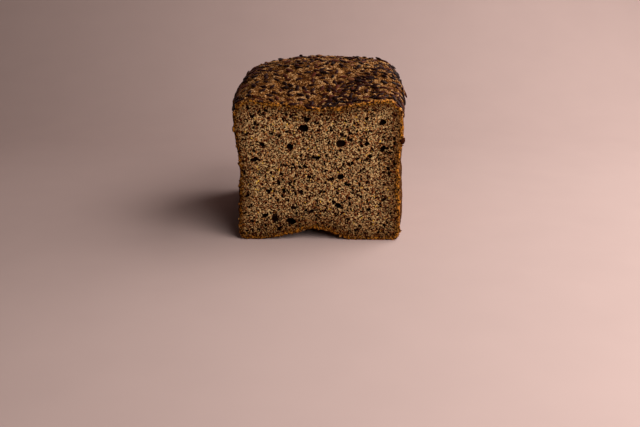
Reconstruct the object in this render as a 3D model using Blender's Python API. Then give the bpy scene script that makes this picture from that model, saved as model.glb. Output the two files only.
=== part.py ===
"""Half of a flaxseed loaf, cut straight across and standing on its base.

The cut face looks along -Y and the baked heel along +Y. Lengths are in metres, +Z is up, and the
origin is on the ground under the middle of the half loaf. It is one solid: a tin-shaped body that
sank in the middle while it baked, with pores in its cut face, flax seeds baked on to its top and a
few crumbs stuck to its edges.
"""

import math
import random

import bmesh
import bpy
from mathutils import Matrix, Vector, noise

MM = 0.001

# The block that the tin gave: width across X, depth along Y from cut face to heel, height along Z
FOOT_WIDTH = 85.6 * MM
DEPTH = 99.0 * MM
SHOULDER_HEIGHT = 75.2 * MM
FOOT_RADIUS = 4.4 * MM
SHOULDER_RADIUS = 9.5 * MM
HEEL_SHOULDER_RADIUS = 13.0 * MM
HEEL_FOOT_RADIUS = 12.0 * MM
HEEL_TOP_RADIUS = 17.0 * MM

# The top: it rises from the cut face to a crest, falls off to either side of it and dips in front
CREST_HEIGHT = 86.6 * MM
CREST_AT = 0.52
LEFT_FALL = 8.6 * MM
RIGHT_FALL = 3.6 * MM
TOP_DIP = 4.2 * MM
DIP_REACH = 0.91

# The sides: shoulders that bulge over a waist, and a loaf that grows wider behind the cut face
LEFT_BULGE = 2.0 * MM
RIGHT_BULGE = 0.2 * MM
BULGE_FROM = 0.52
BULGE_RISE = 0.34
WAIST = 1.2 * MM
WAIST_AT = 0.45
WAIST_REACH = 0.2
SPLAY = 3.6 * MM
SPLAY_END = 0.4
HEEL_SWELL = 2.0 * MM
SWELL_REACH = 1.25

# The base: an arch under the cut face, steeper on its right
FOOT_ARCH = 5.9 * MM
ARCH_LEFT = 0.80
ARCH_RIGHT = 0.46
ARCH_END = 0.7

# Two sizes of waves in the crust, which leave the base and the cut face flat
WAVES = ((13.0 * MM, 0.55 * MM), (5.6 * MM, 0.28 * MM))

BASE_FROM = 0.3

# Faces along each side of the block
DIVISIONS = 16

# Flax seeds: length, width and thickness, and the place and girth of each ring of a seed
SEED_SIZE = Vector((5.0, 2.4, 1.3)) * MM
SEED_SPREAD = 0.12
SEED_RINGS = ((-0.22, 0.95), (0.16, 0.80))
SEED_SIDES = 6

# How they lie on the top: only where the crust faces up enough and is high enough on the loaf
SEED_TILT = math.radians(9)
SEED_SUNK = 0.12 * MM
SEED_GAP = 5.9 * MM
SEED_COUNT = 235
SEED_TRIES = 12000
SEEDED_SLOPE = 0.12
SEEDED_FROM = 0.8 * SHOULDER_HEIGHT
CLEAR_OF_CUT = 3.0 * MM

# The largest pores cut open by the knife: across, up, width, height in mm, and lean in degrees
LARGE_PORES = (
    (-8.3, 60.8, 5.2, 3.2, -20), (-15.2, 51.1, 3.4, 2.8, -30), (10.9, 52.7, 4.6, 4.0, 20),
    (-1.5, 45.2, 4.6, 2.2, 5), (11.0, 34.9, 3.4, 3.2, -10), (14.3, 31.2, 3.8, 1.8, -40),
    (32.3, 63.5, 3.8, 2.6, 25), (-23.8, 11.7, 4.6, 4.2, 0), (-15.0, 10.5, 4.6, 3.4, -10),
    (-28.7, 13.8, 3.2, 2.4, 25), (9.7, 19.3, 3.2, 2.6, 15),
)
# Smaller ones between them, drawn at random
SMALL_PORES = 18
SMALL_PORE = (1.9, 3.0)
PORE_GAP = 6.0
PORE_FIELD = ((-38.0, 38.0), (10.0, 66.0))
PORE_LEAN = 40
PORE_DEPTH = 1.5
DROP_SIDES = 7
DROP_RINGS = 4

# Crumbs stuck near the rim of the cut face: across, along and up on the block, and sizes in mm
CRUMBS = (
    (1.0, 0.030, 0.72, (2.6, 2.4, 2.8)),
    (-1.0, 0.016, 0.41, (1.6, 1.4, 1.5)),
    (-1.0, 0.014, 0.26, (1.5, 1.3, 1.7)),
    (0.26, 0.012, 0.0, (1.4, 1.3, 2.4)),
)

# Browned crust, open crumb and glossy seeds: linear colour and roughness of each
FINISHES = {
    "crust": ((0.115, 0.050, 0.018), 0.62),
    "crumb": ((0.159, 0.077, 0.031), 0.90),
    "seed": ((0.040, 0.014, 0.010), 0.38),
}
CRUST, CRUMB, SEED = range(len(FINISHES))


def mix(start, end, share):
    return start + (end - start) * share


def clamp(value, low, high):
    return min(max(value, low), high)


def ease(t):
    """Runs from 0 to 1 with level ends, and stays level outside them."""
    t = clamp(t, 0.0, 1.0)
    return t * t * (3 - 2 * t)


def hump(t):
    """Is 1 at the middle and falls smoothly to 0 at -1 and at 1."""
    return math.cos(clamp(t, -1.0, 1.0) * math.pi / 2) ** 2


def block_point(across, along, up):
    """A point of the tin's block, whose edges are round except at the cut face.

    Across runs from -1 to 1, and along and up from 0 to 1.
    """
    half = FOOT_WIDTH / 2
    top_radius = mix(SHOULDER_RADIUS, HEEL_SHOULDER_RADIUS, ease(along / CREST_AT))
    radius = Vector((
        mix(FOOT_RADIUS, top_radius, ease(up)),
        mix(HEEL_FOOT_RADIUS, HEEL_TOP_RADIUS, ease(up)),
        top_radius if up > 0.5 else FOOT_RADIUS,
    ))
    point = Vector((across * half, along * DEPTH, up * SHOULDER_HEIGHT))
    core = Vector((
        clamp(point.x, radius.x - half, half - radius.x),
        min(point.y, DEPTH - radius.y),
        clamp(point.z, radius.z, SHOULDER_HEIGHT - radius.z),
    ))
    out = Vector((point[i] - core[i]) / radius[i] for i in range(3))
    if out.length == 0:
        return point
    out *= max(abs(reach) for reach in out) / out.length
    return core + Vector(out[i] * radius[i] for i in range(3))


def baked_point(point):
    """Where rising and baking moved a point of the block: shoulders out, middle down, heel up."""
    across = point.x / (FOOT_WIDTH / 2)
    along = point.y / DEPTH
    up = point.z / SHOULDER_HEIGHT
    left = across < 0
    spread = (
        (LEFT_BULGE if left else RIGHT_BULGE) * ease((up - BULGE_FROM) / BULGE_RISE)
        - WAIST * math.exp(-(((up - WAIST_AT) / WAIST_REACH) ** 2))
        + SPLAY * ease(along / SPLAY_END)
    )
    toward_crest = ease(along / CREST_AT)
    lift = (
        (CREST_HEIGHT - SHOULDER_HEIGHT) * toward_crest
        - TOP_DIP * hump(across / DIP_REACH) * (1 - toward_crest)
        - (LEFT_FALL if left else RIGHT_FALL) * across**2 * toward_crest
    )
    arch = FOOT_ARCH * hump(across / (ARCH_LEFT if left else ARCH_RIGHT)) * (1 - ease(along / ARCH_END))
    swell = HEEL_SWELL * hump(across / SWELL_REACH) * math.sin(clamp(up, 0.0, 1.0) * math.pi)
    return Vector((
        point.x + across * spread,
        point.y + along * swell,
        point.z + up**1.5 * lift + (1 - up) ** 2 * arch,
    ))


def crowd_ends(t):
    """Spaces points from -1 to 1 closer together toward both ends, where the block is round."""
    return (t + math.sin(t * math.pi / 2)) / 2


def new_object(name, mesh_data, materials, collection=None):
    mesh = bpy.data.meshes.new(name)
    mesh_data.to_mesh(mesh)
    mesh_data.free()
    for material in materials:
        mesh.materials.append(material)
    piece = bpy.data.objects.new(name, mesh)
    (collection or bpy.context.scene.collection).objects.link(piece)
    return piece


def make_material(name, colour, roughness):
    material = bpy.data.materials.new(name)
    material.use_nodes = True
    shader = material.node_tree.nodes["Principled BSDF"]
    shader.inputs["Base Color"].default_value = (*colour, 1)
    shader.inputs["Roughness"].default_value = roughness
    shader.inputs["Metallic"].default_value = 0.0
    return material


def make_body(materials):
    """The half loaf without seeds, pores or crumbs. Its cut face is one flat face."""
    body = bmesh.new()
    bmesh.ops.create_cube(body, size=2.0)
    bmesh.ops.subdivide_edges(body, edges=body.edges[:], cuts=DIVISIONS - 1, use_grid_fill=True)
    cut_face = [face for face in body.faces if face.calc_center_median().y < -0.999]
    for vert in body.verts:
        across, along, up = (crowd_ends(value) for value in vert.co)
        vert.co = baked_point(block_point(across, (along + 1) / 2, (up + 1) / 2))
    bmesh.ops.dissolve_faces(body, faces=cut_face, use_verts=True)
    body.normal_update()
    wave_crust(body)
    for face in body.faces:
        face.material_index = CRUMB if face.normal.y < -0.99 else CRUST
    return new_object("loaf", body, materials)


def wave_crust(body):
    """Raises and lowers the crust in soft waves, out from the loaf, and keeps its base level."""
    moves = {}
    for vert in body.verts:
        out = vert.normal.copy()
        out.y = max(out.y, 0.0)
        on_base = ease((-vert.normal.z - BASE_FROM) / (1 - BASE_FROM))
        raised = sum(noise.noise(vert.co / length) * height for length, height in WAVES)
        moves[vert] = out * raised * (1 - on_base)
    for vert, move in moves.items():
        vert.co += move
        vert.co.z = max(vert.co.z, 0.0)


def make_seed(length, width, thickness):
    """A flax seed lying along X: a flat drop, broad toward one end and pointed at the other."""
    seed = bmesh.new()
    tips = [seed.verts.new((side * length / 2, 0, 0)) for side in (-1, 1)]
    rings = []
    for place, girth in SEED_RINGS:
        turns = (2 * math.pi * step / SEED_SIDES for step in range(SEED_SIDES))
        rings.append([
            seed.verts.new((
                place * length,
                math.cos(turn) * girth * width / 2,
                math.sin(turn) * girth * thickness / 2,
            ))
            for turn in turns
        ])
    for step in range(SEED_SIDES):
        after = (step + 1) % SEED_SIDES
        seed.faces.new((tips[0], rings[0][after], rings[0][step]))
        seed.faces.new((rings[0][step], rings[0][after], rings[1][after], rings[1][step]))
        seed.faces.new((tips[1], rings[1][step], rings[1][after]))
    bmesh.ops.recalc_face_normals(seed, faces=seed.faces[:])
    return seed


def seed_places(body, draw):
    """Places on the top crust that lie at least a seed's gap apart, with the way up at each."""
    body.data.calc_loop_triangles()
    verts = body.data.vertices
    triangles = [
        triangle for triangle in body.data.loop_triangles
        if triangle.normal.z > SEEDED_SLOPE and triangle.center[2] > SEEDED_FROM
    ]
    areas = [triangle.area for triangle in triangles]
    places = []
    for triangle in draw.choices(triangles, weights=areas, k=SEED_TRIES):
        corners = [verts[index].co for index in triangle.vertices]
        first, second = draw.random(), draw.random()
        if first + second > 1:
            first, second = 1 - first, 1 - second
        place = corners[0] + (corners[1] - corners[0]) * first + (corners[2] - corners[0]) * second
        apart = all((place - other).length > SEED_GAP for other, _ in places)
        if apart and place.y > CLEAR_OF_CUT:
            places.append((place, triangle.normal.copy()))
        if len(places) == SEED_COUNT:
            break
    return places


def make_seeds(body, materials, collection):
    """Flax seeds that lie flat on the top crust, turned every way, half sunk in it."""
    draw = random.Random(12)
    for number, (place, up) in enumerate(seed_places(body, draw)):
        size = SEED_SIZE * draw.uniform(1 - SEED_SPREAD, 1 + SEED_SPREAD)
        turn = Matrix.Rotation(draw.uniform(0, 2 * math.pi), 4, "Z")
        tilt = Matrix.Rotation(draw.uniform(-SEED_TILT, SEED_TILT), 4, "Y")
        lie = up.to_track_quat("Z", "Y").to_matrix().to_4x4()
        seed = make_seed(*size)
        seed.transform(Matrix.Translation(place - up * SEED_SUNK) @ lie @ turn @ tilt)
        for face in seed.faces:
            face.material_index = SEED
        new_object(f"seed_{number}", seed, materials, collection)


def make_drop(centre, size, turn=0.0):
    """A rough ball of the given sizes, turned about Y."""
    drop = bmesh.new()
    bmesh.ops.create_uvsphere(drop, u_segments=DROP_SIDES, v_segments=DROP_RINGS, radius=0.5)
    drop.transform(
        Matrix.Translation(centre) @ Matrix.Rotation(turn, 4, "Y") @ Matrix.Diagonal((*size, 1))
    )
    return drop


def pore_places(draw):
    """The large pores, then small ones at random places that are clear of the others."""
    pores = list(LARGE_PORES)
    while len(pores) < len(LARGE_PORES) + SMALL_PORES:
        across, up = (draw.uniform(*reach) for reach in PORE_FIELD)
        if all(math.dist((across, up), other[:2]) > PORE_GAP for other in pores):
            width, height = draw.uniform(*SMALL_PORE), draw.uniform(*SMALL_PORE)
            pores.append((across, up, width, height, draw.uniform(-PORE_LEAN, PORE_LEAN)))
    return pores


def make_pores(materials, collection):
    """The pores' hollows, which reach through the cut face."""
    for number, (across, up, width, height, lean) in enumerate(pore_places(random.Random(5))):
        size = Vector((width, PORE_DEPTH * math.sqrt(width * height), height)) * MM
        pore = make_drop(Vector((across, 0, up)) * MM, size, -math.radians(lean))
        for face in pore.faces:
            face.material_index = CRUMB
        new_object(f"pore_{number}", pore, materials, collection)


def make_crumbs(materials, collection):
    for number, (*place, size) in enumerate(CRUMBS):
        crumb = make_drop(baked_point(block_point(*place)), Vector(size) * MM)
        new_object(f"crumb_{number}", crumb, materials, collection)


def combine(body, collection, operation):
    """Joins the collection's solids to the body or cuts them from it, then removes them."""
    bpy.context.view_layer.update()
    boolean = body.modifiers.new(operation.lower(), "BOOLEAN")
    boolean.operand_type = "COLLECTION"
    boolean.collection = collection
    boolean.operation = operation
    shaped = bpy.data.meshes.new_from_object(
        body.evaluated_get(bpy.context.evaluated_depsgraph_get())
    )
    body.modifiers.remove(boolean)
    body.data = shaped
    for piece in list(collection.objects):
        bpy.data.objects.remove(piece)
    bpy.data.collections.remove(collection)


def new_collection(name):
    collection = bpy.data.collections.new(name)
    bpy.context.scene.collection.children.link(collection)
    return collection


def stand_on_origin(body):
    """Moves the mesh so that the middle of its base is on the origin."""
    corners = [vert.co for vert in body.data.vertices]
    low = Vector(min(corner[axis] for corner in corners) for axis in range(3))
    high = Vector(max(corner[axis] for corner in corners) for axis in range(3))
    body.data.transform(Matrix.Translation((-(low.x + high.x) / 2, -(low.y + high.y) / 2, -low.z)))


def build():
    for old in list(bpy.data.objects):
        bpy.data.objects.remove(old)
    materials = [make_material(name, *finish) for name, finish in FINISHES.items()]
    body = make_body(materials)
    pores = new_collection("pores")
    make_pores(materials, pores)
    seeds = new_collection("seeds")
    make_seeds(body, materials, seeds)
    make_crumbs(materials, seeds)
    combine(body, pores, "DIFFERENCE")
    combine(body, seeds, "UNION")
    stand_on_origin(body)


build()
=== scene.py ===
"""Looks of half a flaxseed loaf: open crumb, browned crust, flax seeds, bran grains and crumbs.

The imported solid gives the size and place. The pieces here follow the same named form at a finer
grain and stand for it. Lengths are in metres, +Z is up, and the cut face looks along -Y.
"""

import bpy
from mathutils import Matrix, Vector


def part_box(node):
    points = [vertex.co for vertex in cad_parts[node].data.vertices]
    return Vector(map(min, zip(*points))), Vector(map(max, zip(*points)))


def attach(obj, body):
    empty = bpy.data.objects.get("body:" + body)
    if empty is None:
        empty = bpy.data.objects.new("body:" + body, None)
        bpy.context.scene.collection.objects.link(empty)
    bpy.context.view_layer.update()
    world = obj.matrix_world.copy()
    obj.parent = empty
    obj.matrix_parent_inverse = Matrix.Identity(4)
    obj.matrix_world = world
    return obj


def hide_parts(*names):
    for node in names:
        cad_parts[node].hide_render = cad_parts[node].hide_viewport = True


bl_info = {
    "name": "Flaxseed Loaf Looks",
    "version": (1, 0, 0),
    "blender": (4, 5, 0),
    "location": "3D View > Sidebar > Flax Loaf",
    "description": "Models the crumb, crust, seeds and stage of half a flaxseed loaf",
    "category": "Object",
}

import math
from collections import namedtuple

import bpy
import numpy as np
from bpy.props import FloatProperty, FloatVectorProperty, IntProperty, PointerProperty
from mathutils import Matrix, Vector, noise

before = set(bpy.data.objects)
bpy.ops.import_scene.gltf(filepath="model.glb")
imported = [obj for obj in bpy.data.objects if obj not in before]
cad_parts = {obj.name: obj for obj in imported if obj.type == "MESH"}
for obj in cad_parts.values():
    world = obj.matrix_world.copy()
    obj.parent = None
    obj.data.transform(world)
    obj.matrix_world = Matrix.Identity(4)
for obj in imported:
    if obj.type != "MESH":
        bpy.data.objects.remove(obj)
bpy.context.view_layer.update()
LOW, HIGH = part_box("loaf")

MM = 0.001
CUT_Y = LOW.y

# The loaf's own middle line stands right of the box's middle, as its left shoulder bulges further
MIDDLE_X = 0.67 * MM

# Round edges of the block that the tin gave
FOOT_RADIUS = 4.4 * MM
SHOULDER_RADIUS = 9.5 * MM
HEEL_SHOULDER_RADIUS = 13.0 * MM
HEEL_FOOT_RADIUS = 12.0 * MM
HEEL_TOP_RADIUS = 17.0 * MM

# The top: it rises to a crest, falls off to either side of it and dips behind the cut face
CREST_AT = 0.52
LEFT_FALL = 8.6 * MM
RIGHT_FALL = 3.6 * MM
TOP_DIP = 4.2 * MM
DIP_REACH = 0.91

# The sides: shoulders that bulge over a waist, and a loaf that grows wider behind the cut face
LEFT_BULGE = 2.0 * MM
RIGHT_BULGE = 0.2 * MM
BULGE_FROM = 0.52
BULGE_RISE = 0.34
WAIST = 1.2 * MM
WAIST_AT = 0.45
WAIST_REACH = 0.2
SPLAY = 3.6 * MM
SPLAY_END = 0.4
HEEL_SWELL = 2.0 * MM
SWELL_REACH = 1.25

# The base: an arch under the cut face, steeper on its right
FOOT_ARCH = 5.9 * MM
ARCH_LEFT = 0.80
ARCH_RIGHT = 0.46
ARCH_END = 0.7

# The crust bulges past the block, so its points are counted for sides this much longer
BULGE_ALLOWANCE = 1.06

# Soft waves of the crust: width and height of each
WAVES = ((13.0 * MM, 0.55 * MM), (5.6 * MM, 0.28 * MM))

# The base lies level where it faces down and is low: how far down counts, how high, and how level
BASE_FROM = 0.3
BASE_BAND = 1.6 * MM
BASE_LEVEL = 0.95

# Where the crust rose free of the tin, by how far up it faces and how high it lies: start and reach
OPEN_FACING = (0.02, 0.4)
OPEN_HEIGHT = (0.62, 0.2)

# Fine relief on the open top, at the tin, at the knife's cut and of the crumb: height in mm, width
# and random seed of each grain
TOP_GRAIN = ((0.30, 3.6 * MM, 1), (0.42, 1.9 * MM, 2), (0.26, 1.1 * MM, 3))
TIN_GRAIN = ((0.15, 1.9 * MM, 4), (0.12, 1.2 * MM, 5), (0.26, 5.0 * MM, 6))
CUT_GRAIN = ((0.50, 2.6 * MM, 7), (0.50, 1.3 * MM, 8))
CUT_GRAIN_REACH = 3 * MM
CRUMB_GRAIN = ((0.07, 0.6 * MM, 43), (0.12, 2.4 * MM, 44))

# The tin drew the first of its grains out a little in height
TIN_DRAW = (1, 1, 0.7)

# Dents that steam left at the tin: spacing, radii, share of places with one, random seed, and depth
DENTS = (7.0 * MM, (0.8 * MM, 1.9 * MM), 0.5, 20)
DENT_DEPTH = 0.5

# Pores of the open crumb, fine, middling and wide: radii, share of places with one, random seed
PORES = (
    ((0.22 * MM, 0.5 * MM), 0.9, 50),
    ((0.4 * MM, 0.8 * MM), 0.36, 60),
    ((0.6 * MM, 1.0 * MM), 0.4, 70),
)

# Pores that stand out in the cut face: across, up, width and height in mm, lean in degrees, and how
# deep for its size
LARGE_PORES = (
    (-8.3, 60.8, 5.2, 3.2, -20, 1.0), (-15.2, 51.1, 3.4, 2.8, -30, 1.0), (10.9, 52.7, 4.8, 3.6, 30, 0.5),
    (-1.5, 45.2, 4.6, 2.2, 5, 1.0), (11.0, 34.9, 3.4, 3.2, -10, 1.0), (14.3, 31.2, 3.8, 1.8, -40, 1.0),
    (32.3, 63.5, 3.8, 2.6, 25, 1.0), (-23.8, 11.7, 4.6, 4.2, 0, 0.16), (-15.0, 10.5, 4.6, 3.4, -10, 1.0),
    (-28.7, 13.8, 3.2, 2.4, 25, 1.0), (9.7, 19.3, 3.2, 2.6, 15, 1.0),
    (-7.7, 40.3, 2.4, 1.8, -40, 1.0), (-5.5, 35.0, 2.4, 2.0, 10, 1.0), (-18.8, 27.3, 2.6, 1.9, -50, 1.0),
    (-33.6, 44.5, 2.2, 2.0, 0, 1.0), (-29.8, 52.2, 2.6, 2.0, -30, 1.0), (-34.6, 67.1, 2.4, 2.0, 20, 1.0),
    (26.2, 46.4, 2.6, 2.2, 30, 1.0), (32.7, 49.8, 2.2, 3.4, -10, 1.0), (24.6, 52.8, 2.4, 1.9, 0, 1.0),
    (-6.5, 65.1, 3.0, 1.8, 0, 1.0), (16.8, 42.3, 2.4, 2.0, 30, 1.0), (-27.3, 26.9, 2.2, 1.8, 0, 1.0),
)

# Crumbs stuck near the rim of the cut face: place on the block, sizes in mm, tone from dark to gold
CRUMBS = (
    (1.0, 0.008, 0.72, (4.4, 3.2, 3.4), 0.0),
    (-1.0, 0.016, 0.41, (1.6, 1.4, 1.5), 0.6),
    (-1.0, 0.014, 0.26, (1.5, 1.3, 1.7), 0.6),
    (0.26, 0.012, 0.0, (1.4, 1.3, 2.4), 0.9),
    (-0.75, 0.085, 1.0, (3.4, 3.4, 2.4), 0.0),
)

# How far the crumb's slab and the crust's ring reach behind the cut face, and how far apart they lie
SLAB_DEPTH = 4.5 * MM
RECESS_DEPTH = 5.0 * MM
SLAB_INSET = 0.15 * MM

# The crust's lip at the cut: how unevenly thick it is, how much thicker along the foot, and how far
# it lies back in mm, at least and at most beyond that
LIP_GRAIN = ((0.55, 2.2 * MM, 9),)
FOOT_THICKER = 0.7
LIP_BACK = 0.1
LIP_BACK_MORE = 0.35

# How far the knife pressed the crust's edge back, how unevenly, over what reach, and how wide the
# crumb rounds off
EDGE_BACK = 0.8 * MM
EDGE_GRAIN = ((0.45, 2.0 * MM, 11),)
EDGE_REACH = 5.0 * MM
EDGE_ROUND = 1.5 * MM

# How much further the browning reaches in along the foot, and how much further the browned edge is
# painted in at the right side as light falling from the right
FOOT_BROWNING = 0.7
RIGHT_PAINTED_LIGHT = 0.5

# Spots tried for each that is wanted
TRIES = 12

# Seeds and grains stick where the crust is this open
SEED_OPEN = 0.42
GRAIN_OPEN = 0.22

# Seeds: middle, reach and drift of their thickest crowd, their gaps in seed widths, how far they
# tilt, and the slope past which they point downhill and how far they then stray from that
CROWD_PLACE = (14 * MM, CUT_Y + 20 * MM)
CROWD_REACH = 22 * MM
CROWD_DRIFT = ((0.5, 12 * MM, 90), (0.5, 6 * MM, 91))
SEED_GAPS = (1.0, 2.3)
SEED_TILT = math.radians(9)
SHOULDER_SLOPE = 0.45
SHOULDER_SPREAD = 0.35

# Bran grains: gaps and sizes
GRAIN_GAPS = (0.9 * MM, 1.4 * MM)
GRAIN_SIZES = (0.5 * MM, 1.35 * MM)

# Small crumbs along the rim: how many are strewn, sizes, and how far before and behind the cut
RIM_CRUMBS = 420
RIM_CRUMB_SIZES = (0.4 * MM, 1.1 * MM)
RIM_CRUMB_PLACE = (-0.5 * MM, 0.9 * MM)

# Widths of what each surface shows, in mm
CHIP_WIDTH = 0.54
CHIP_SWIRL = 0.53
CRUMB_MOTTLE = 0.43
SPECK_SPACING = 1.18
BAND_WANDER = 1.25
EDGE_STROKE = 1.05
CRUST_GRAIN = 0.67
CRUST_WRINKLE = 0.45
TIN_MOTTLE = 1.43
TIN_PIT = 2.4
TIN_PATCH = 9.0
HULL_WEAR = 0.62
BRAN_MOTTLE = 0.5
PAPER_CLOUD = 33.0

# The crust as a mesh: its points, where they were before waves and grain, its quads, outward
# directions, share of open top, height of its grain in mm, and the rim of the cut face
Crust = namedtuple("Crust", "points smooth faces out open_top raised rim")


def linear(code):
    """The linear colour of an sRGB hex value such as #c8a070."""
    parts = [int(code[place:place + 2], 16) / 255 for place in (1, 3, 5)]
    return tuple(part / 12.92 if part <= 0.04045 else ((part + 0.055) / 1.055) ** 2.4 for part in parts)


def length(name, description, millimetres):
    """A size that a user can change, in millimetres."""
    return FloatProperty(
        name=name, description=description, default=millimetres * MM, unit="LENGTH", precision=5
    )


def colour(name, description, code):
    """A colour that a user can change, from sRGB hex."""
    return FloatVectorProperty(
        name=name, description=description, default=linear(code), subtype="COLOR", size=3, min=0, max=1
    )


class FlaxLoafForm(bpy.types.PropertyGroup):
    foot_width: length("Foot width", "Width of the loaf at its base", 85.6)
    depth: length("Depth", "From the cut face to the heel", 99.0)
    shoulder_height: length("Shoulder height", "Height of the cut face at its shoulders", 75.2)
    crest_height: length("Crest height", "Height of the top behind the cut face", 86.6)
    crust_thickness: length("Crust thickness", "Browned layer round the crumb", 0.9)
    crust_grain: length("Crust grain", "Spacing of the crust's points", 0.66)
    crumb_grain: length("Crumb grain", "Spacing of the cut face's points", 0.26)


class FlaxCrumbLook(bpy.types.PropertyGroup):
    fine_pore: length("Fine pores", "Spacing of the finest pores", 0.98)
    middle_pore: length("Middle pores", "Spacing of the middling pores", 2.4)
    wide_pore: length("Wide pores", "Spacing of the wide pores", 6.4)
    pale: colour("Pale walls", "Thin walls between pores", "#f2cb8d")
    tan: colour("Tan walls", "Most walls between pores", "#ca935a")
    brown: colour("Brown walls", "Thick walls between pores", "#8c4826")
    dark: colour("Dark walls", "Walls full of ground seed", "#2e1007")
    hull: colour("Hull chips", "Cut seed hulls", "#511a0a")
    amber: colour("Amber chips", "Cut seeds that browned", "#a8662a")
    gold: colour("Gold chips", "Cut golden flax seeds", "#e3b13c")
    deep: colour("Pore floors", "Shaded floors of the pores", "#130704")
    band: colour("Darker band", "Filter of the denser crumb behind the crust", "#8e7355")
    edge: colour("Browned edge", "Crumb that browned next to the crust", "#c47d28")


class FlaxCrustLook(bpy.types.PropertyGroup):
    tan: colour("Tan top", "Highest grains of the open top", "#c89f72")
    gold: colour("Golden top", "Raised parts of the open top", "#905a28")
    brown: colour("Brown top", "Hollows of the open top", "#4c260d")
    tin: colour("Tin side", "Crust that baked against the tin", "#52301a")
    tin_dark: colour("Dark tin side", "Darkest crust against the tin", "#221008")
    tin_warm: colour("Warm tin side", "Lightest crust against the tin", "#80532c")
    edge_brown: colour("Brown edge", "Crust at the knife's cut", "#6a3c14")
    edge_warm: colour("Warm edge", "Lightest crust at the knife's cut", "#e69036")


class FlaxSeedLook(bpy.types.PropertyGroup):
    count: IntProperty(name="Seeds", description="Most seeds on the top", default=660, min=0)
    seed_length: length("Seed length", "Mean length of a flax seed", 4.9)
    seed_width: length("Seed width", "Mean width of a flax seed", 2.25)
    seed_thickness: length("Seed thickness", "Mean thickness of a flax seed", 1.25)
    grains: IntProperty(name="Bran grains", description="Most grains on the top", default=1700, min=0)
    black: colour("Darkest hull", "Seeds that baked longest", "#0c0404")
    plum: colour("Plum hull", "Most seeds", "#1f0a09")
    red: colour("Red hull", "Lighter seeds", "#4e2214")
    tan: colour("Tan hull", "Split and rubbed seeds", "#8a5a38")


class FlaxStageLook(bpy.types.PropertyGroup):
    floor: colour("Floor", "Plain pale paper under the loaf", "#bea39c")
    sky: colour("Fill light", "Tone of the light all round", "#d8c4c0")
    fill: FloatProperty(name="Fill strength", description="Light all round", default=0.04, min=0)
    front: FloatProperty(name="Front softbox", description="Its power", default=2.75, unit="POWER")
    side: FloatProperty(name="Side softbox", description="Its power", default=2.35, unit="POWER")
    tone: colour("Softbox tone", "Tone of both softboxes", "#fffdfb")


def ease(t):
    """Runs from 0 to 1 with level ends, and stays level outside them."""
    t = np.clip(t, 0.0, 1.0)
    return t * t * (3 - 2 * t)


def hump(t):
    """Is 1 at the middle and falls smoothly to 0 at -1 and at 1."""
    return np.cos(np.clip(t, -1.0, 1.0) * math.pi / 2) ** 2


def crowd_ends(t):
    """Spaces points from -1 to 1 closer together toward both ends, where the block is round."""
    return (t + np.sin(t * math.pi / 2)) / 2


def block_points(places, form):
    """Points of the tin's block, whose edges are round except at the cut face."""
    across, along, up = places.T
    half = form.foot_width / 2
    top_radius = SHOULDER_RADIUS + (HEEL_SHOULDER_RADIUS - SHOULDER_RADIUS) * ease(along / CREST_AT)
    level = ease(up)
    radius = np.stack((
        FOOT_RADIUS + (top_radius - FOOT_RADIUS) * level,
        HEEL_FOOT_RADIUS + (HEEL_TOP_RADIUS - HEEL_FOOT_RADIUS) * level,
        np.where(up > 0.5, top_radius, FOOT_RADIUS),
    ), axis=1)
    points = places * (half, form.depth, form.shoulder_height)
    core = np.stack((
        np.clip(points[:, 0], radius[:, 0] - half, half - radius[:, 0]),
        np.minimum(points[:, 1], form.depth - radius[:, 1]),
        np.clip(points[:, 2], radius[:, 2], form.shoulder_height - radius[:, 2]),
    ), axis=1)
    out = (points - core) / radius
    reach = np.linalg.norm(out, axis=1)
    share = np.abs(out).max(axis=1) / np.where(reach > 0, reach, 1)
    return core + out * radius * share[:, None]


def baked_points(points, form):
    """Where rising and baking moved the block's points, in the row's frame."""
    across = points[:, 0] / (form.foot_width / 2)
    along = points[:, 1] / form.depth
    up = points[:, 2] / form.shoulder_height
    left = across < 0
    spread = (
        np.where(left, LEFT_BULGE, RIGHT_BULGE) * ease((up - BULGE_FROM) / BULGE_RISE)
        - WAIST * np.exp(-(((up - WAIST_AT) / WAIST_REACH) ** 2))
        + SPLAY * ease(along / SPLAY_END)
    )
    toward_crest = ease(along / CREST_AT)
    lift = (
        (form.crest_height - form.shoulder_height) * toward_crest
        - TOP_DIP * hump(across / DIP_REACH) * (1 - toward_crest)
        - np.where(left, LEFT_FALL, RIGHT_FALL) * across**2 * toward_crest
    )
    arch_reach = np.where(left, ARCH_LEFT, ARCH_RIGHT)
    arch = FOOT_ARCH * hump(across / arch_reach) * (1 - ease(along / ARCH_END))
    swell = HEEL_SWELL * hump(across / SWELL_REACH) * np.sin(np.clip(up, 0.0, 1.0) * math.pi)
    return np.stack((
        points[:, 0] + across * spread + MIDDLE_X,
        points[:, 1] + along * swell + CUT_Y,
        points[:, 2] + np.clip(up, 0, None) ** 1.5 * lift + (1 - up) ** 2 * arch,
    ), axis=1)


def loaf_points(places, form):
    return baked_points(block_points(places, form), form)


def cell_random(cells, seed):
    """A repeatable random value from 0 to 1 for each whole-number cell."""
    mixed = np.full(len(cells), seed * 374761393 % 2**32, np.uint32)
    for axis, factor in zip(range(cells.shape[1]), (668265263, 2246822519, 3266489917)):
        mixed = (mixed ^ (cells[:, axis].astype(np.int64) % 2**32).astype(np.uint32)) * np.uint32(factor)
        mixed ^= mixed >> np.uint32(15)
    mixed = (mixed ^ (mixed >> np.uint32(13))) * np.uint32(1274126177)
    return (mixed ^ (mixed >> np.uint32(16))) / 2.0**32


def soft_noise(points, size, seed):
    """Smooth random values from -1 to 1 that change over about the given size."""
    cells = points / size
    base = np.floor(cells)
    part = cells - base
    part = part**3 * (part * (part * 6 - 15) + 10)
    total = np.zeros(len(points))
    for corner in np.ndindex(*(2,) * points.shape[1]):
        weight = np.prod(np.where(corner, part, 1 - part), axis=1)
        total += weight * cell_random(base + corner, seed)
    return total * 2 - 1


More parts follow.
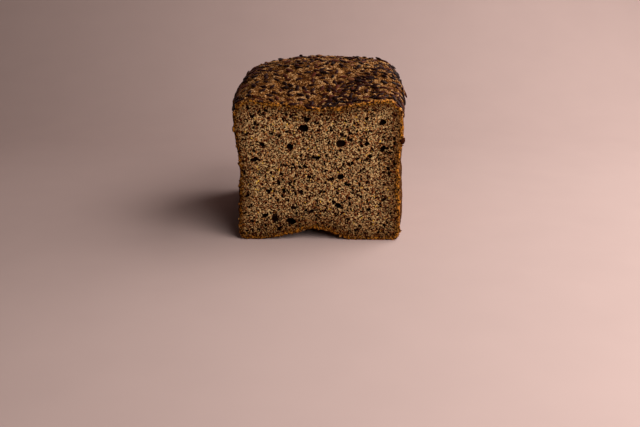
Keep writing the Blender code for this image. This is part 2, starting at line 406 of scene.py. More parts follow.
def layered_noise(points, grains):
    """Soft noises laid over one another, each with its height, width and seed."""
    return sum(height * soft_noise(points, width, seed) for height, width, seed in grains)


def hollows(points, spacing, radii, share, seed):
    """Depth below a surface of round hollows, at most one to each cell of a shaken lattice."""
    axes = points.shape[1]
    own = np.floor(points / spacing)
    depth = np.zeros(len(points))
    for step in np.ndindex(*(3,) * axes):
        cell = own + step - 1
        shake = np.stack([cell_random(cell, seed + axis) for axis in range(axes)], axis=1)
        away = points - (cell + shake) * spacing
        radius = radii[0] + (radii[1] - radii[0]) * cell_random(cell, seed + 5) ** 2
        stretch = 1 + 0.9 * cell_random(cell, seed + 6)
        turn = cell_random(cell, seed + 7) * math.pi
        along = away[:, 0] * np.cos(turn) + away[:, -1] * np.sin(turn)
        reach = (away**2).sum(axis=1) + along**2 * (1 / stretch**2 - 1)
        sunk = radius * (cell_random(cell, seed + 8) * 1.1 - 0.35)
        there = (cell_random(cell, seed + 9) < share) & (reach < radius**2 - sunk**2)
        found = np.where(there, sunk + np.sqrt(np.clip(radius**2 - reach, 0, None)), 0)
        depth = np.maximum(depth, found)
    return depth


def new_piece(name, points, faces, material, **values):
    """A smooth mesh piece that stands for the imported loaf, with a value per point for its finish."""
    mesh = bpy.data.meshes.new(name)
    mesh.from_pydata(np.asarray(points, float).tolist(), [], faces)
    for label, numbers in values.items():
        value = mesh.attributes.new(label, "FLOAT", "POINT")
        value.data.foreach_set("value", np.asarray(numbers, np.float32))
    mesh.shade_smooth()
    mesh.materials.append(material)
    piece = bpy.data.objects.new(name, mesh)
    bpy.context.scene.collection.objects.link(piece)
    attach(piece, "root")
    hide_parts("loaf")
    return piece


def point_normals(points, faces):
    """Outward directions of a mesh's points."""
    mesh = bpy.data.meshes.new("normals")
    mesh.from_pydata(points.tolist(), [], faces)
    out = np.empty(len(points) * 3, np.float32)
    mesh.vertex_normals.foreach_get("vector", out)
    bpy.data.meshes.remove(mesh)
    return out.reshape(-1, 3).astype(float)


def block_lattice(counts):
    """Whole-number places and quads of a block's sides, all but its front, and the front's rim."""
    quads = []
    left, right = (0, 0, True), (0, counts[0], False)
    back, base, top = (1, counts[1], True), (2, 0, True), (2, counts[2], False)
    for fixed, value, turned in (left, right, back, base, top):
        free = [axis for axis in range(3) if axis != fixed]
        first, second = (grid.ravel() for grid in np.indices([counts[axis] for axis in free]))
        corners = []
        for step in ((0, 0), (1, 0), (1, 1), (0, 1)):
            corner = np.full((len(first), 3), value)
            corner[:, free[0]] = first + step[0]
            corner[:, free[1]] = second + step[1]
            corners.append(corner)
        quads.append(np.stack(corners[::-1] if turned else corners, axis=1))
    weights = np.array(((counts[1] + 1) * (counts[2] + 1), counts[2] + 1, 1))
    keys = np.concatenate(quads) @ weights
    used, faces = np.unique(keys, return_inverse=True)
    along = used // weights[1] % (counts[1] + 1)
    places = np.stack((used // weights[0], along, used % weights[1]), axis=1)
    wide, high = counts[0], counts[2]
    rim = (
        [(step, 0, 0) for step in range(wide)]
        + [(wide, 0, step) for step in range(high)]
        + [(wide - step, 0, high) for step in range(wide)]
        + [(0, 0, high - step) for step in range(high)]
    )
    rim = np.searchsorted(used, np.array(rim) @ weights)
    return places, faces.reshape(-1, 4), rim


def crust_surface(form):
    """The crust's mesh, open at the cut face."""
    size = Vector((form.foot_width, form.depth, form.shoulder_height)) * BULGE_ALLOWANCE
    counts = [round(side / form.crust_grain) for side in size]
    places, faces, rim = block_lattice(counts)
    spots = crowd_ends(places / counts * 2 - 1)
    spots[:, 1:] = (spots[:, 1:] + 1) / 2
    smooth = loaf_points(spots, form)
    out = point_normals(smooth, faces.tolist())
    facing = ease((out[:, 2] - OPEN_FACING[0]) / OPEN_FACING[1])
    open_top = facing * ease((smooth[:, 2] / form.shoulder_height - OPEN_HEIGHT[0]) / OPEN_HEIGHT[1])
    raised = crust_grain(smooth, open_top)
    points = raised_crust(smooth, out, raised)
    return Crust(points, smooth, faces, out, open_top, raised, rim)


def crust_grain(smooth, open_top):
    """Height in mm of the fine relief: grainy on the open top, wrinkled and dented at the tin."""
    block = smooth - (MIDDLE_X, CUT_Y, 0)
    grain = layered_noise(block, TOP_GRAIN)
    wrinkles = layered_noise(block * TIN_DRAW, TIN_GRAIN[:1]) + layered_noise(block, TIN_GRAIN[1:])
    dents = hollows(block, *DENTS) / MM * DENT_DEPTH
    crags = layered_noise(block, CUT_GRAIN)
    at_cut = 1 - ease(block[:, 1] / CUT_GRAIN_REACH)
    return open_top * grain + (1 - open_top) * (wrinkles - dents) + crags * at_cut


def raised_crust(smooth, out, raised):
    """Adds the crust's waves and fine relief, and keeps its base level where the loaf stands."""
    block = smooth - (MIDDLE_X, CUT_Y, 0)
    waves = sum(
        height * np.array([noise.noise(Vector(point)) for point in block / width])
        for width, height in WAVES
    )
    facing_down = ease((-out[:, 2] - BASE_FROM) / (1 - BASE_FROM))
    standing = facing_down * (1 - ease(smooth[:, 2] / BASE_BAND))
    move = out.copy()
    move[:, 1] = np.where(block[:, 1] < 1e-6, 0, np.maximum(move[:, 1], 0))
    points = smooth + move * ((waves + raised * MM) * (1 - standing * BASE_LEVEL))[:, None]
    pressed = EDGE_BACK * (1 + layered_noise(smooth[:, ::2], EDGE_GRAIN))
    points[:, 1] += pressed * (1 - ease(block[:, 1] / EDGE_REACH))
    points[:, 2] = np.maximum(points[:, 2], 0)
    return points


def rim_directions(rim_points):
    """Outward directions in the cut plane along the rim."""
    ahead = np.roll(rim_points, -3, axis=0) - np.roll(rim_points, 3, axis=0)
    out = np.stack((ahead[:, 2], np.zeros(len(ahead)), -ahead[:, 0]), axis=1)
    return out / np.linalg.norm(out, axis=1)[:, None]


def make_crust(form, material):
    """The browned crust: the whole outside but the cut face, with a ring that holds the crumb."""
    crust = crust_surface(form)
    outline = crust.points[crust.rim]
    aside = rim_directions(outline)
    uneven = 1 + layered_noise(outline, LIP_GRAIN) + FOOT_THICKER * ease(-aside[:, 2])
    thickness = form.crust_thickness * uneven
    recess = (LIP_BACK + LIP_BACK_MORE * cell_random(np.arange(len(outline))[:, None], 10)) * MM
    lip = outline - aside * thickness[:, None]
    lip[:, 1] += recess
    floor = lip + (0, RECESS_DEPTH, 0)
    count, start = len(outline), len(crust.points)
    points = np.concatenate((crust.points, lip, floor, [floor.mean(axis=0)]))
    open_top = np.concatenate((crust.open_top, crust.open_top[crust.rim], np.zeros(count + 1)))
    raised = np.concatenate((crust.raised, np.zeros(2 * count + 1)))
    faces = crust.faces.tolist()
    middle = start + 2 * count
    for step, corner in enumerate(crust.rim):
        after = (step + 1) % count
        faces.append((corner, crust.rim[after], start + after, start + step))
        faces.append((start + step, start + after, start + count + after, start + count + step))
        faces.append((start + count + step, start + count + after, middle))
    return new_piece("crust", points, faces, material, open_top=open_top, raised_mm=raised)


def nearest_on(points, line):
    """For each point the nearest of a line's points, and how far it is."""
    index, gap = np.empty(len(points), int), np.empty(len(points))
    for start in range(0, len(points), 8000):
        part = slice(start, start + 8000)
        apart = ((points[part, None, :] - line[None]) ** 2).sum(axis=2)
        index[part] = apart.argmin(axis=1)
        gap[part] = np.sqrt(apart.min(axis=1))
    return index, gap


def crumb_depth(flat, rim_gap, look):
    """How deep the open pores lie behind the knife's cut at places in its plane."""
    warp = np.stack([soft_noise(flat, 1.3 * MM, seed) for seed in (41, 42)], axis=1)
    shaken = flat + warp * 0.22 * MM
    depth = np.zeros(len(flat))
    for spacing, (radii, share, seed) in zip((look.fine_pore, look.middle_pore, look.wide_pore), PORES):
        depth = np.maximum(depth, hollows(shaken, spacing, radii, share, seed))
    depth *= 0.5 + 0.5 * ease(rim_gap / (3.5 * MM))
    ragged = flat + warp * 0.4 * MM
    lobes = 0.45 * soft_noise(flat, 1.9 * MM, 45)
    for across, up, width, height, lean, hollow in LARGE_PORES:
        away = ragged - np.array((across * MM + MIDDLE_X, up * MM))
        turn = math.radians(lean)
        along = away[:, 0] * math.cos(turn) + away[:, 1] * math.sin(turn)
        over = away[:, 1] * math.cos(turn) - away[:, 0] * math.sin(turn)
        reach = (2 * along / (width * MM)) ** 2 + (2 * over / (height * MM)) ** 2 + lobes
        pore = 0.8 * hollow * math.sqrt(width * height) * MM * np.sqrt(np.clip(1 - reach, 0, None))
        depth = np.maximum(depth, pore)
    rough = layered_noise(flat, CRUMB_GRAIN) * MM * ease(rim_gap / (1.5 * MM))
    return np.minimum(depth, SLAB_DEPTH * 0.8) + rough


def make_crumb(form, look, material):
    """The open crumb at the knife's cut, a slab with real pores that sits in the crust's ring."""
    crust = crust_surface(form)
    outline, smooth = crust.points[crust.rim], crust.smooth[crust.rim]
    wide = round(form.foot_width / form.crumb_grain)
    high = round(form.shoulder_height / form.crumb_grain)
    column, row = (grid.ravel() for grid in np.indices((wide + 1, high + 1)))
    spots = np.stack((column / wide * 2 - 1, np.zeros(len(column)), row / high), axis=1)
    points = loaf_points(spots, form)
    nearest, gap = nearest_on(points[:, ::2], smooth[:, ::2])
    aside = rim_directions(outline)
    pull = (outline - smooth - aside * SLAB_INSET)[nearest]
    points += pull * (1 - ease(gap / (3 * MM)))[:, None]
    rounded = (outline[nearest, 1] - CUT_Y) * np.clip(1 - gap / EDGE_ROUND, 0, 1) ** 2
    points[:, 1] = CUT_Y + crumb_depth(points[:, ::2], gap, look) + rounded
    # Painted light: the browned edge reaches further in at the right side, as light falls from the right
    further = FOOT_BROWNING * ease(-aside[nearest, 2]) + RIGHT_PAINTED_LIGHT * ease(aside[nearest, 0])
    browned = gap / MM / (1 + further)
    number = np.arange(len(points)).reshape(wide + 1, high + 1)
    faces = np.stack(
        (number[:-1, :-1], number[1:, :-1], number[1:, 1:], number[:-1, 1:]), axis=-1
    ).reshape(-1, 4).tolist()
    loop = np.concatenate((number[:-1, 0], number[-1, :-1], number[:0:-1, -1], number[0, :0:-1]))
    back = points[loop]
    back[:, 1] = CUT_Y + SLAB_DEPTH
    start, count = len(points), len(loop)
    points = np.concatenate((points, back, [back.mean(axis=0)]))
    browned = np.concatenate((browned, np.zeros(count + 1)))
    for step in range(count):
        after = (step + 1) % count
        faces.append((loop[after], loop[step], start + step, start + after))
        faces.append((start + after, start + step, start + count))
    return new_piece("crumb", points, faces, material, rim_mm=browned)


def scatter(crust, count, gaps, least_open, seed, crowding=None):
    """Random spots on the crust with their outward directions, no two nearer than their gap."""
    draw = np.random.default_rng(seed)
    corners = crust.points[crust.faces]
    area = np.linalg.norm(np.cross(corners[:, 2] - corners[:, 0], corners[:, 3] - corners[:, 1]), axis=1)
    weight = area * (crust.open_top[crust.faces].mean(axis=1) > least_open)
    tries = draw.choice(len(crust.faces), size=count * TRIES, p=weight / weight.sum())
    across, along = draw.random((2, len(tries), 1))
    spots = (
        (corners[tries, 0] * (1 - across) + corners[tries, 1] * across) * (1 - along)
        + (corners[tries, 3] * (1 - across) + corners[tries, 2] * across) * along
    )
    ways = crust.out[crust.faces[tries]].mean(axis=1)
    crowd = crowding(spots) if crowding else np.full(len(spots), 0.5)
    need = gaps[0] + (gaps[1] - gaps[0]) * crowd
    kept = []
    for index in range(len(spots)):
        if len(kept) == count:
            break
        if not kept or (np.linalg.norm(spots[kept] - spots[index], axis=1) > need[index]).all():
            kept.append(index)
    return spots[kept], ways[kept], draw


def seed_shape(sides=10, rings=9):
    """A flax seed of unit size that lies along X: a full drop with one sharper end."""
    points, faces = [(-0.5, 0, 0)], []
    for ring in range(1, rings + 1):
        along = ring / (rings + 1)
        girth = math.sin(math.pi * along**0.82) ** 0.72 * (1 - 0.18 * along)
        for side in range(sides):
            turn = 2 * math.pi * side / sides
            points.append((along - 0.5, math.cos(turn) * girth / 2, math.sin(turn) * girth / 2))
    points.append((0.5, 0.02, 0))
    last = len(points) - 1
    for side in range(sides):
        after = (side + 1) % sides
        faces.append((0, 1 + after, 1 + side))
        for ring in range(rings - 1):
            low = 1 + ring * sides
            faces.append((low + side, low + after, low + sides + after, low + sides + side))
        low = 1 + (rings - 1) * sides
        faces.append((last, low + side, low + after))
    return np.array(points), faces


def grain_shape():
    """A lump with twenty faces, of unit size."""
    golden = (1 + math.sqrt(5)) / 2
    points = np.array([
        (-1, golden, 0), (1, golden, 0), (-1, -golden, 0), (1, -golden, 0),
        (0, -1, golden), (0, 1, golden), (0, -1, -golden), (0, 1, -golden),
        (golden, 0, -1), (golden, 0, 1), (-golden, 0, -1), (-golden, 0, 1),
    ])
    fan = (11, 5, 1, 7, 10)
    belt = (4, 9, 8, 6, 2)
    faces = []
    for step in range(5):
        after = (step + 1) % 5
        faces.append((0, fan[step], fan[after]))
        faces.append((3, belt[after], belt[step]))
        faces.append((fan[after], fan[step], belt[step]))
        faces.append((belt[step], belt[after], fan[after]))
    return points / np.linalg.norm(points[0]) / 2, faces


def strew(name, shape, spots, ways, sizes, turns, tilts, lifts, tones, material, lumps=0.0, seed=1):
    """Copies of a shape lying on the crust, each turned, tilted, lifted and toned for itself.

    A turn of zero points a shape straight down the slope to its side.
    """
    template, template_faces = shape
    draw = np.random.default_rng(seed)
    points, faces = [], []
    lies = zip(spots, ways, sizes, turns, tilts, lifts)
    for number, (spot, way, size, turn, tilt, lift) in enumerate(lies):
        upward = Vector(way).normalized()
        aside = Vector((0, 1, 0)).cross(upward).normalized()
        lie = Matrix((aside, upward.cross(aside), upward)).transposed()
        place = lie @ Matrix.Rotation(turn, 3, "Z") @ Matrix.Rotation(tilt, 3, "Y")
        own = template * (1 + lumps * draw.normal(size=(len(template), 1)))
        points.append((own * size) @ np.array(place).T + spot + np.array(upward) * lift)
        first = number * len(template)
        faces.extend(tuple(first + corner for corner in face) for face in template_faces)
    return new_piece(name, np.concatenate(points), faces, material, tone=np.repeat(tones, len(template)))


def seed_crowding(spots):
    """How thinly seeds lie, from 0 where they crowd to 1 where the crust shows."""
    drift = layered_noise(spots[:, :2], CROWD_DRIFT)
    crowd = np.exp(-((np.linalg.norm(spots[:, :2] - CROWD_PLACE, axis=1) / CROWD_REACH) ** 2))
    return np.clip(0.74 + 0.8 * drift - 0.75 * crowd, 0, 1)


def make_seeds(form, look, material):
    """Flax seeds baked on to the open top, turned every way, but downhill on the shoulders."""
    gaps = [look.seed_width * gap for gap in SEED_GAPS]
    spots, ways, draw = scatter(crust_surface(form), look.count, gaps, SEED_OPEN, 7, seed_crowding)
    count = len(spots)
    size = np.array((look.seed_length, look.seed_width, look.seed_thickness))
    sizes = size * draw.normal(1, 0.07, (count, 1)).clip(0.82, 1.18) * draw.normal(1, 0.05, (count, 3))
    spread = np.where(np.abs(ways[:, 0]) > SHOULDER_SLOPE, SHOULDER_SPREAD, 1.0)
    spread *= 0.25 + 0.75 * ease((spots[:, 1] - CUT_Y) / look.seed_length)
    turns = draw.normal(0, 1, count) * spread + math.pi * draw.integers(0, 2, count)
    tilts = draw.normal(0, SEED_TILT, count)
    lifts = draw.uniform(0.0, 0.4, count) * look.seed_thickness
    tones = draw.random(count)
    return strew("flax_seeds", seed_shape(), spots, ways, sizes, turns, tilts, lifts, tones, material)


def make_grains(form, look, material):
    """Bran and crumb grains baked on to the open top between the seeds."""
    spots, ways, draw = scatter(crust_surface(form), look.grains, GRAIN_GAPS, GRAIN_OPEN, 17)
    count = len(spots)
    sizes = draw.uniform(*GRAIN_SIZES, (count, 1)) * draw.uniform(0.6, 1.3, (count, 3))
    sizes *= (1.2, 1, 0.7)
    turns = draw.uniform(0, 2 * math.pi, count)
    tilts = draw.normal(0, 0.3, count)
    tones = draw.random(count)
    lies = (spots, ways, sizes, turns, tilts, turns * 0, tones)
    return strew("bran_grains", grain_shape(), *lies, material, 0.14, 18)


def make_crumbs(form, material):
    """Crumbs and flakes stuck along the rim of the cut face, the large ones first."""
    crust = crust_surface(form)
    outline = crust.points[crust.rim]
    out = rim_directions(outline)
    draw = np.random.default_rng(31)
    large = loaf_points(np.array([crumb[:3] for crumb in CRUMBS]), form)
    picks = draw.integers(0, len(outline), RIM_CRUMBS)
    spots = np.concatenate((large, outline[picks]))
    spots[len(large):, 1] += draw.uniform(*RIM_CRUMB_PLACE, len(picks))
    nearest = nearest_on(large[:, ::2], outline[:, ::2])[0]
    ways = np.concatenate((out[nearest], out[picks]))
    sizes = np.concatenate((
        np.array([crumb[3] for crumb in CRUMBS]) * MM,
        draw.uniform(*RIM_CRUMB_SIZES, (len(picks), 1)) * draw.uniform(0.6, 1.4, (len(picks), 3)),
    ))
    keep = spots[:, 2] > sizes.max(axis=1)
    keep[:len(large)] = True
    first = np.arange(len(spots)) < len(large)
    turns = np.where(first, 0, draw.uniform(0, math.pi, len(spots)))
    lifts = np.where(first, 0.2 * MM, -0.1 * MM)
    tones = np.concatenate(([crumb[4] for crumb in CRUMBS], draw.random(len(picks))))
    chosen = (part[keep] for part in (spots, ways, sizes, turns, turns * 0, lifts, tones))
    return strew("rim_crumbs", grain_shape(), *chosen, material, 0.16, 32)


def add(tree, kind, inputs=None, stops=None, **settings):
    """Adds a shader node with its settings, its inputs as values or links, and a ramp's stops."""
    node = tree.nodes.new("ShaderNode" + kind)
    for label, value in settings.items():
        setattr(node, label, value)
    for label, value in (inputs or {}).items():
        if isinstance(value, bpy.types.NodeSocket):
            tree.links.new(value, node.inputs[label])
        else:
            node.inputs[label].default_value = value
    if stops:
        ramp = node.color_ramp
        while len(ramp.elements) < len(stops):
            ramp.elements.new(1)
        for element, (place, tone) in zip(ramp.elements, stops):
            element.position = place
            element.color = (*tone, 1)
    return node


def fade(tree, value, span, ends):
    """Runs between two ends over the value's span, and stays level outside it."""
    inputs = {
        "Value": value, "From Min": span[0], "From Max": span[1], "To Min": ends[0], "To Max": ends[1],
    }
    return add(tree, "MapRange", inputs).outputs[0]


def blend(tree, share, first, second, how="MIX"):
    """Mixes a share of the second colour into the first, each a link or a plain colour."""
    inputs = {"Fac": share}
    for label, tone in (("Color1", first), ("Color2", second)):
        inputs[label] = tone if isinstance(tone, bpy.types.NodeSocket) else (*tone, 1)
    return add(tree, "MixRGB", inputs, blend_type=how).outputs["Color"]


def new_material(name, gloss, roughness=0.5):
    """A material with only its output and a shader, and the tree's place in millimetres."""
    material = bpy.data.materials.new(name)
    material.use_nodes = True
    tree = material.node_tree
    shader = tree.nodes["Principled BSDF"]
    shader.inputs["Specular IOR Level"].default_value = gloss
    shader.inputs["Roughness"].default_value = roughness
    place = add(tree, "TexCoord").outputs["Object"]
    millimetres = add(tree, "VectorMath", {0: place, "Scale": 1 / MM}, operation="SCALE").outputs[0]
    return material, tree, shader, millimetres


def add_relief(tree, shader, height, strength, depth):
    """Relief too fine for the mesh, its depth in mm."""
    bump = add(tree, "Bump", {"Height": height, "Strength": strength, "Distance": depth * MM})
    tree.links.new(bump.outputs["Normal"], shader.inputs["Normal"])


def crumb_material(look):
    """Flaxseed crumb, baked and cut by a knife: dry and matt.

    The knife left chips of pale, brown and red walls with cut hulls and a few golden seeds between
    them. The pores are painted near black as shade, darkest at their floors, with specks of painted
    shade for pores too fine for the mesh. The crumb is darker near the crust and browned at its edge,
    and the browned edge is painted wider at the right side as light falling from the right.
    """
    material, tree, shader, place = new_material("baked flax crumb, knife cut", 0.0, 0.8)
    swirl = add(tree, "TexNoise", {"Vector": place, "Scale": 1 / CHIP_SWIRL, "Detail": 1.0})
    shaken = add(tree, "VectorMath", {
        0: swirl.outputs["Color"], 1: (0.8, 0.8, 0.8), 2: place,
    }, operation="MULTIPLY_ADD")
    chips = add(tree, "TexVoronoi", {"Vector": shaken.outputs[0], "Scale": 1 / CHIP_WIDTH})
    pick = add(tree, "SeparateColor", {"Color": chips.outputs["Color"]})
    tones = add(tree, "ValToRGB", {"Fac": pick.outputs["Red"]}, (
        (0.12, look.hull), (0.24, look.dark), (0.38, look.brown), (0.58, look.tan), (0.80, look.pale),
    ))
    fine = add(tree, "TexNoise", {
        "Vector": place, "Scale": 1 / CRUMB_MOTTLE, "Detail": 2.0, "Roughness": 0.6,
    })
    mottle = fade(tree, fine.outputs["Fac"], (0.35, 0.65), (0.72, 0.0))
    walls = blend(tree, mottle, tones.outputs["Color"], look.dark)
    # Painted shade: pores too fine for the mesh, drawn as dark specks about half a millimetre wide so
    # that they show
    specks = add(tree, "TexVoronoi", {"Vector": place, "Scale": 1 / SPECK_SPACING})
    speck = fade(tree, specks.outputs["Distance"], (0.22, 0.38), (0.9, 0.0))
    walls = blend(tree, speck, walls, look.deep)
    for tone, least in ((look.amber, 0.972), (look.gold, 0.993)):
        share = add(tree, "Math", {0: pick.outputs["Green"], 1: least}, operation="GREATER_THAN")
        walls = blend(tree, share.outputs[0], walls, tone)
    parts = add(tree, "SeparateXYZ", {"Vector": place})
    cut = CUT_Y / MM
    # Painted shade: the walls darken to the shaded pore floor colour where the cut lies deeper behind
    # the cut
    depth = fade(tree, parts.outputs["Y"], (cut + 0.07, cut + 0.46), (0.0, 1.0))
    deep = blend(tree, depth, walls, look.deep)
    rim = add(tree, "Attribute", attribute_name="rim_mm")
    ragged = add(tree, "TexNoise", {"Vector": place, "Scale": 1 / BAND_WANDER, "Detail": 3.0})
    wander = fade(tree, ragged.outputs["Fac"], (0.0, 1.0), (-2.4, 2.4))
    gap = add(tree, "Math", {0: rim.outputs["Fac"], 1: wander}, operation="ADD").outputs[0]
    browner = fade(tree, gap, (0.4, 8.0), (1.0, 0.0))
    band = blend(tree, browner, deep, look.band, "MULTIPLY")
    broken = add(tree, "TexNoise", {
        "Vector": place, "Scale": 1 / EDGE_STROKE, "Detail": 2.0, "Roughness": 0.6,
    })
    strokes = fade(tree, broken.outputs["Fac"], (0.44, 0.60), (0.0, 1.0))
    edge = blend(tree, strokes, look.dark, look.edge)
    edged = blend(tree, fade(tree, gap, (0.0, 1.3), (0.85, 0.0)), band, edge)
    tree.links.new(edged, shader.inputs["Base Color"])
    add_relief(tree, shader, fine.outputs["Fac"], 0.4, 0.25)
    return material


def crust_material(look):
    """Bread crust browned in the oven: dry and matt.

    It shows golden grains on a dark ground where it rose in the open, the ground painted darker in
    its hollows as shade. It is dark brown and mottled where it baked against the tin, with dark spots
    painted as shade in small pits, and has a ragged browned edge at the knife's cut, painted darker
    toward the left and warmer toward the right as light falling from the right.
    """
    material, tree, shader, place = new_material("browned bread crust, tin baked", 0.0)
    # Painted shade: the open top is coloured by its relief height, its hollows dark as shade and its
    # raised grains golden to tan
    raised = add(tree, "Attribute", attribute_name="raised_mm").outputs["Fac"]
    grain = add(tree, "TexNoise", {
        "Vector": place, "Scale": 1 / CRUST_GRAIN, "Detail": 3.0, "Roughness": 0.65,
    })
    lifted = add(tree, "Math", {0: raised, 1: 0.22, 2: grain.outputs["Fac"]}, operation="MULTIPLY_ADD")
    top = add(tree, "ValToRGB", {"Fac": lifted.outputs[0]}, (
        (0.43, look.tin_dark), (0.50, look.brown), (0.57, look.gold), (0.68, look.tan),
    ))
    stretched = add(tree, "VectorMath", {0: place, 1: (1.0, 1.0, 0.72)}, operation="MULTIPLY")
    mottles = add(tree, "TexNoise", {
        "Vector": stretched.outputs[0], "Scale": 1 / TIN_MOTTLE, "Detail": 5.0, "Roughness": 0.72,
        "Distortion": 0.8,
    })
    side = add(tree, "ValToRGB", {"Fac": mottles.outputs["Fac"]}, (
        (0.36, look.tin_dark), (0.50, look.tin), (0.66, look.tin_warm),
    )).outputs["Color"]
    # Painted shade: small dark spots on the tin side stand for the shade in small pits
    pits = add(tree, "TexVoronoi", {"Vector": stretched.outputs[0], "Scale": 1 / TIN_PIT})
    pit_shade = fade(tree, pits.outputs["Distance"], (0.16, 0.34), (0.8, 0.0))
    side = blend(tree, pit_shade, side, look.tin_dark)
    patches = add(tree, "TexNoise", {"Vector": place, "Scale": 1 / TIN_PATCH, "Detail": 2.0})
    patched = fade(tree, patches.outputs["Fac"], (0.42, 0.62), (0.0, 0.45))
    side = blend(tree, patched, side, look.tin_dark)
    share = add(tree, "Attribute", attribute_name="open_top")
    wander = fade(tree, grain.outputs["Fac"], (0.3, 0.7), (-0.3, 0.3))
    both = add(tree, "Math", {0: share.outputs["Fac"], 1: wander}, operation="ADD", use_clamp=True)
    skin = blend(tree, both.outputs[0], side, top.outputs["Color"])
    parts = add(tree, "SeparateXYZ", {"Vector": place})
    cut = CUT_Y / MM
    # Painted light: the edge at the cut is painted darker toward the left and warmer toward the right,
    # as the light falls from the right
    lean = fade(tree, parts.outputs["X"], (-44.0, 44.0), (-0.08, 0.13))
    broken = add(tree, "TexNoise", {
        "Vector": place, "Scale": 1 / EDGE_STROKE, "Detail": 2.0, "Roughness": 0.6,
    })
    strokes_and_side_light = add(tree, "Math", {0: broken.outputs["Fac"], 1: lean}, operation="ADD")
    warm = add(tree, "ValToRGB", {"Fac": strokes_and_side_light.outputs[0]}, (
        (0.42, look.tin_dark), (0.49, look.edge_brown), (0.60, look.edge_warm),
    ))
    behind = add(tree, "Math", {0: parts.outputs["Y"], 1: -cut}, operation="ADD")
    reach = fade(tree, share.outputs["Fac"], (0.0, 1.0), (1.7, 1.0))
    reached = add(tree, "Math", {0: behind.outputs[0], 1: reach}, operation="MULTIPLY")
    edge = fade(tree, reached.outputs[0], (0.6, 4.5), (0.85, 0.0))
    tree.links.new(blend(tree, edge, skin, warm.outputs["Color"]), shader.inputs["Base Color"])
    fine = add(tree, "TexNoise", {
        "Vector": place, "Scale": 1 / CRUST_WRINKLE, "Detail": 3.0, "Roughness": 0.6,
    })
    add_relief(tree, shader, fine.outputs["Fac"], 0.5, 0.3)
    tree.links.new(fade(tree, grain.outputs["Fac"], (0.0, 1.0), (0.55, 0.8)), shader.inputs["Roughness"])
    return material


def hull_material(look):
    """Flax seed hull, smooth by nature and baked dark: plum, red or near black, with a faint sheen."""
    material, tree, shader, place = new_material("baked flax seed hull, smooth by nature", 0.05)
    link = tree.links.new
    tone = add(tree, "Attribute", attribute_name="tone")
    hulls = add(tree, "ValToRGB", {"Fac": tone.outputs["Fac"]}, (
        (0.0, look.black), (0.60, look.plum), (0.93, look.red), (1.0, look.tan),
    ))
    fine = add(tree, "TexNoise", {"Vector": place, "Scale": 1 / HULL_WEAR, "Detail": 3.0})
    worn = fade(tree, fine.outputs["Fac"], (0.52, 0.72), (0.0, 0.35))
    link(blend(tree, worn, hulls.outputs["Color"], look.red), shader.inputs["Base Color"])
    link(fade(tree, fine.outputs["Fac"], (0.0, 1.0), (0.22, 0.42)), shader.inputs["Roughness"])
    shader.inputs["Specular Tint"].default_value = (1.0, 0.8, 0.76, 1.0)
    add_relief(tree, shader, fine.outputs["Fac"], 0.2, 0.1)
    return material


def grain_material(crust, crumb):
    """Bran and crumb grains, toasted in the oven: matt, from golden to dark brown."""
    material, tree, shader, place = new_material("toasted bran and crumb grains", 0.0, 0.75)
    tone = add(tree, "Attribute", attribute_name="tone")
    tones = add(tree, "ValToRGB", {"Fac": tone.outputs["Fac"]}, (
        (0.0, crumb.dark), (0.35, crust.brown), (0.75, crust.gold), (1.0, crumb.tan),
    ))
    fine = add(tree, "TexNoise", {"Vector": place, "Scale": 1 / BRAN_MOTTLE, "Detail": 3.0})
    mottled = fade(tree, fine.outputs["Fac"], (0.4, 0.7), (0.0, 0.4))
    mixed = blend(tree, mottled, tones.outputs["Color"], crust.brown)
    tree.links.new(mixed, shader.inputs["Base Color"])
    add_relief(tree, shader, fine.outputs["Fac"], 0.4, 0.2)
    return material


def floor_material(look):
    """Seamless paper, uncoated and so matt: a plain pale ground."""
    material, tree, shader, place = new_material("matt seamless paper", 0.2, 0.9)
    fibre = add(tree, "TexNoise", {"Vector": place, "Scale": 1 / PAPER_CLOUD, "Detail": 2.0})
    paper = fade(tree, fibre.outputs["Fac"], (0.0, 1.0), (0.97, 1.03))
    tinted = add(tree, "VectorMath", {0: look.floor, "Scale": paper}, operation="SCALE")
    tree.links.new(tinted.outputs[0], shader.inputs["Base Color"])
    return material


# The photograph's camera, fitted to the loaf: a 50 mm lens on a 36 mm frame
LENS = 50.0
CAMERA_PLACE = Vector((8.5 * MM, CUT_Y - 448.6 * MM, 157.5 * MM))
CAMERA_DOWN = math.radians(17.63)
CAMERA_TURN = math.radians(0.964)

# Size of the floor, and where its back curves up into a wall
FLOOR_SIDE = 3.0
WALL_AT = 0.18
WALL_CURVE = 0.30
WALL_HEIGHT = 1.6

# Two soft lights on the right, one in front of the loaf and one behind it
FRONT_SOFTBOX = Vector((0.27, -0.33, 0.31))
SIDE_SOFTBOX = Vector((0.36, 0.12, 0.36))
SOFTBOX_SIZE = 0.5


def make_camera(scene):
    lens = bpy.data.cameras.new("camera")
    lens.lens = LENS
    lens.sensor_width = 36.0
    lens.clip_start = 0.01
    camera = bpy.data.objects.new("camera", lens)
    camera.location = CAMERA_PLACE
    camera.rotation_euler = (math.pi / 2 - CAMERA_DOWN, 0, CAMERA_TURN)
    scene.collection.objects.link(camera)
    scene.camera = camera


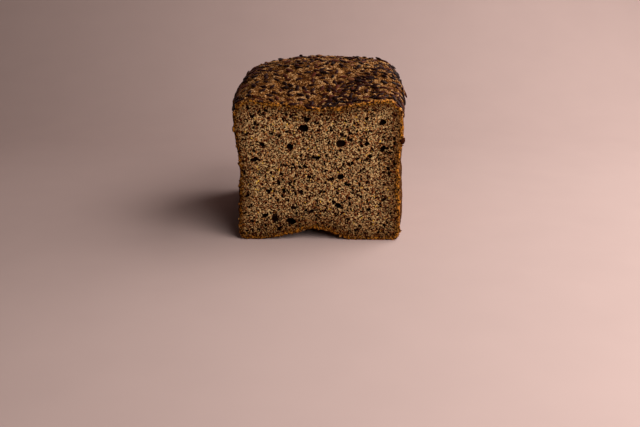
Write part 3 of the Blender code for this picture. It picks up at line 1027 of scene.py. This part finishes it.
def make_floor(scene, look):
    """A seamless sheet that lies flat under the loaf and curves up behind it."""
    profile = [(-FLOOR_SIDE / 2, 0.0)]
    for step in range(13):
        turn = step / 12 * math.pi / 2
        profile.append((WALL_AT + math.sin(turn) * WALL_CURVE, (1 - math.cos(turn)) * WALL_CURVE))
    profile.append((WALL_AT + WALL_CURVE, WALL_HEIGHT))
    points = [(side * FLOOR_SIDE, y, z) for y, z in profile for side in (-1, 1)]
    faces = [(2 * row, 2 * row + 1, 2 * row + 3, 2 * row + 2) for row in range(len(profile) - 1)]
    mesh = bpy.data.meshes.new("floor")
    mesh.from_pydata(points, [], faces)
    mesh.shade_smooth()
    mesh.materials.append(floor_material(look))
    floor = bpy.data.objects.new("floor", mesh)
    scene.collection.objects.link(floor)


def make_softbox(scene, name, place, watts, tone):
    """A round softbox turned to the loaf's middle."""
    lamp = bpy.data.lights.new(name, "AREA")
    lamp.shape = "DISK"
    lamp.size = SOFTBOX_SIZE
    lamp.energy = watts
    lamp.color = tone
    light = bpy.data.objects.new(name, lamp)
    light.location = place
    light.rotation_euler = (Vector((0, 0, HIGH.z / 2)) - place).to_track_quat("-Z", "Y").to_euler()
    scene.collection.objects.link(light)


class FLAX_OT_crumb(bpy.types.Operator):
    """Model the open crumb of the cut face"""
    bl_idname = "flax_loaf.crumb"
    bl_label = "Crumb"

    def execute(self, context):
        scene = context.scene
        make_crumb(scene.flax_form, scene.flax_crumb, crumb_material(scene.flax_crumb))
        return {"FINISHED"}


class FLAX_OT_crust(bpy.types.Operator):
    """Model the browned crust"""
    bl_idname = "flax_loaf.crust"
    bl_label = "Crust"

    def execute(self, context):
        make_crust(context.scene.flax_form, crust_material(context.scene.flax_crust))
        return {"FINISHED"}


class FLAX_OT_seeds(bpy.types.Operator):
    """Strew flax seeds over the top"""
    bl_idname = "flax_loaf.seeds"
    bl_label = "Flax seeds"

    def execute(self, context):
        scene = context.scene
        make_seeds(scene.flax_form, scene.flax_seeds, hull_material(scene.flax_seeds))
        return {"FINISHED"}


class FLAX_OT_grains(bpy.types.Operator):
    """Strew bran grains between the seeds and crumbs along the cut"""
    bl_idname = "flax_loaf.grains"
    bl_label = "Grains and crumbs"

    def execute(self, context):
        scene = context.scene
        material = grain_material(scene.flax_crust, scene.flax_crumb)
        make_grains(scene.flax_form, scene.flax_seeds, material)
        make_crumbs(scene.flax_form, material)
        return {"FINISHED"}


class FLAX_OT_stage(bpy.types.Operator):
    """Set the camera, the floor and the lights"""
    bl_idname = "flax_loaf.stage"
    bl_label = "Stage"

    def execute(self, context):
        scene = context.scene
        look = scene.flax_stage
        make_camera(scene)
        make_floor(scene, look)
        make_softbox(scene, "front_softbox", FRONT_SOFTBOX, look.front, look.tone)
        make_softbox(scene, "side_softbox", SIDE_SOFTBOX, look.side, look.tone)
        world = bpy.data.worlds.new("studio")
        world.use_nodes = True
        fill = world.node_tree.nodes["Background"]
        fill.inputs["Color"].default_value = (*look.sky, 1)
        fill.inputs["Strength"].default_value = look.fill
        scene.world = world
        scene.view_settings.view_transform = "Standard"
        return {"FINISHED"}


OPERATORS = (FLAX_OT_crumb, FLAX_OT_crust, FLAX_OT_seeds, FLAX_OT_grains, FLAX_OT_stage)


class FLAX_PT_panel(bpy.types.Panel):
    bl_label = "Flax Loaf"
    bl_space_type = "VIEW_3D"
    bl_region_type = "UI"
    bl_category = "Flax Loaf"

    def draw(self, context):
        for operator in OPERATORS:
            self.layout.operator(operator.bl_idname)


GROUPS = {
    "flax_form": FlaxLoafForm,
    "flax_crumb": FlaxCrumbLook,
    "flax_crust": FlaxCrustLook,
    "flax_seeds": FlaxSeedLook,
    "flax_stage": FlaxStageLook,
}
CLASSES = (*GROUPS.values(), *OPERATORS, FLAX_PT_panel)


def register():
    for made in CLASSES:
        bpy.utils.register_class(made)
    for label, group in GROUPS.items():
        setattr(bpy.types.Scene, label, PointerProperty(type=group))


def unregister():
    for label in GROUPS:
        delattr(bpy.types.Scene, label)
    for made in reversed(CLASSES):
        bpy.utils.unregister_class(made)


def main():
    register()
    for operator in OPERATORS:
        group, name = operator.bl_idname.split(".")
        getattr(getattr(bpy.ops, group), name)()


if __name__ == "__main__":
    main()
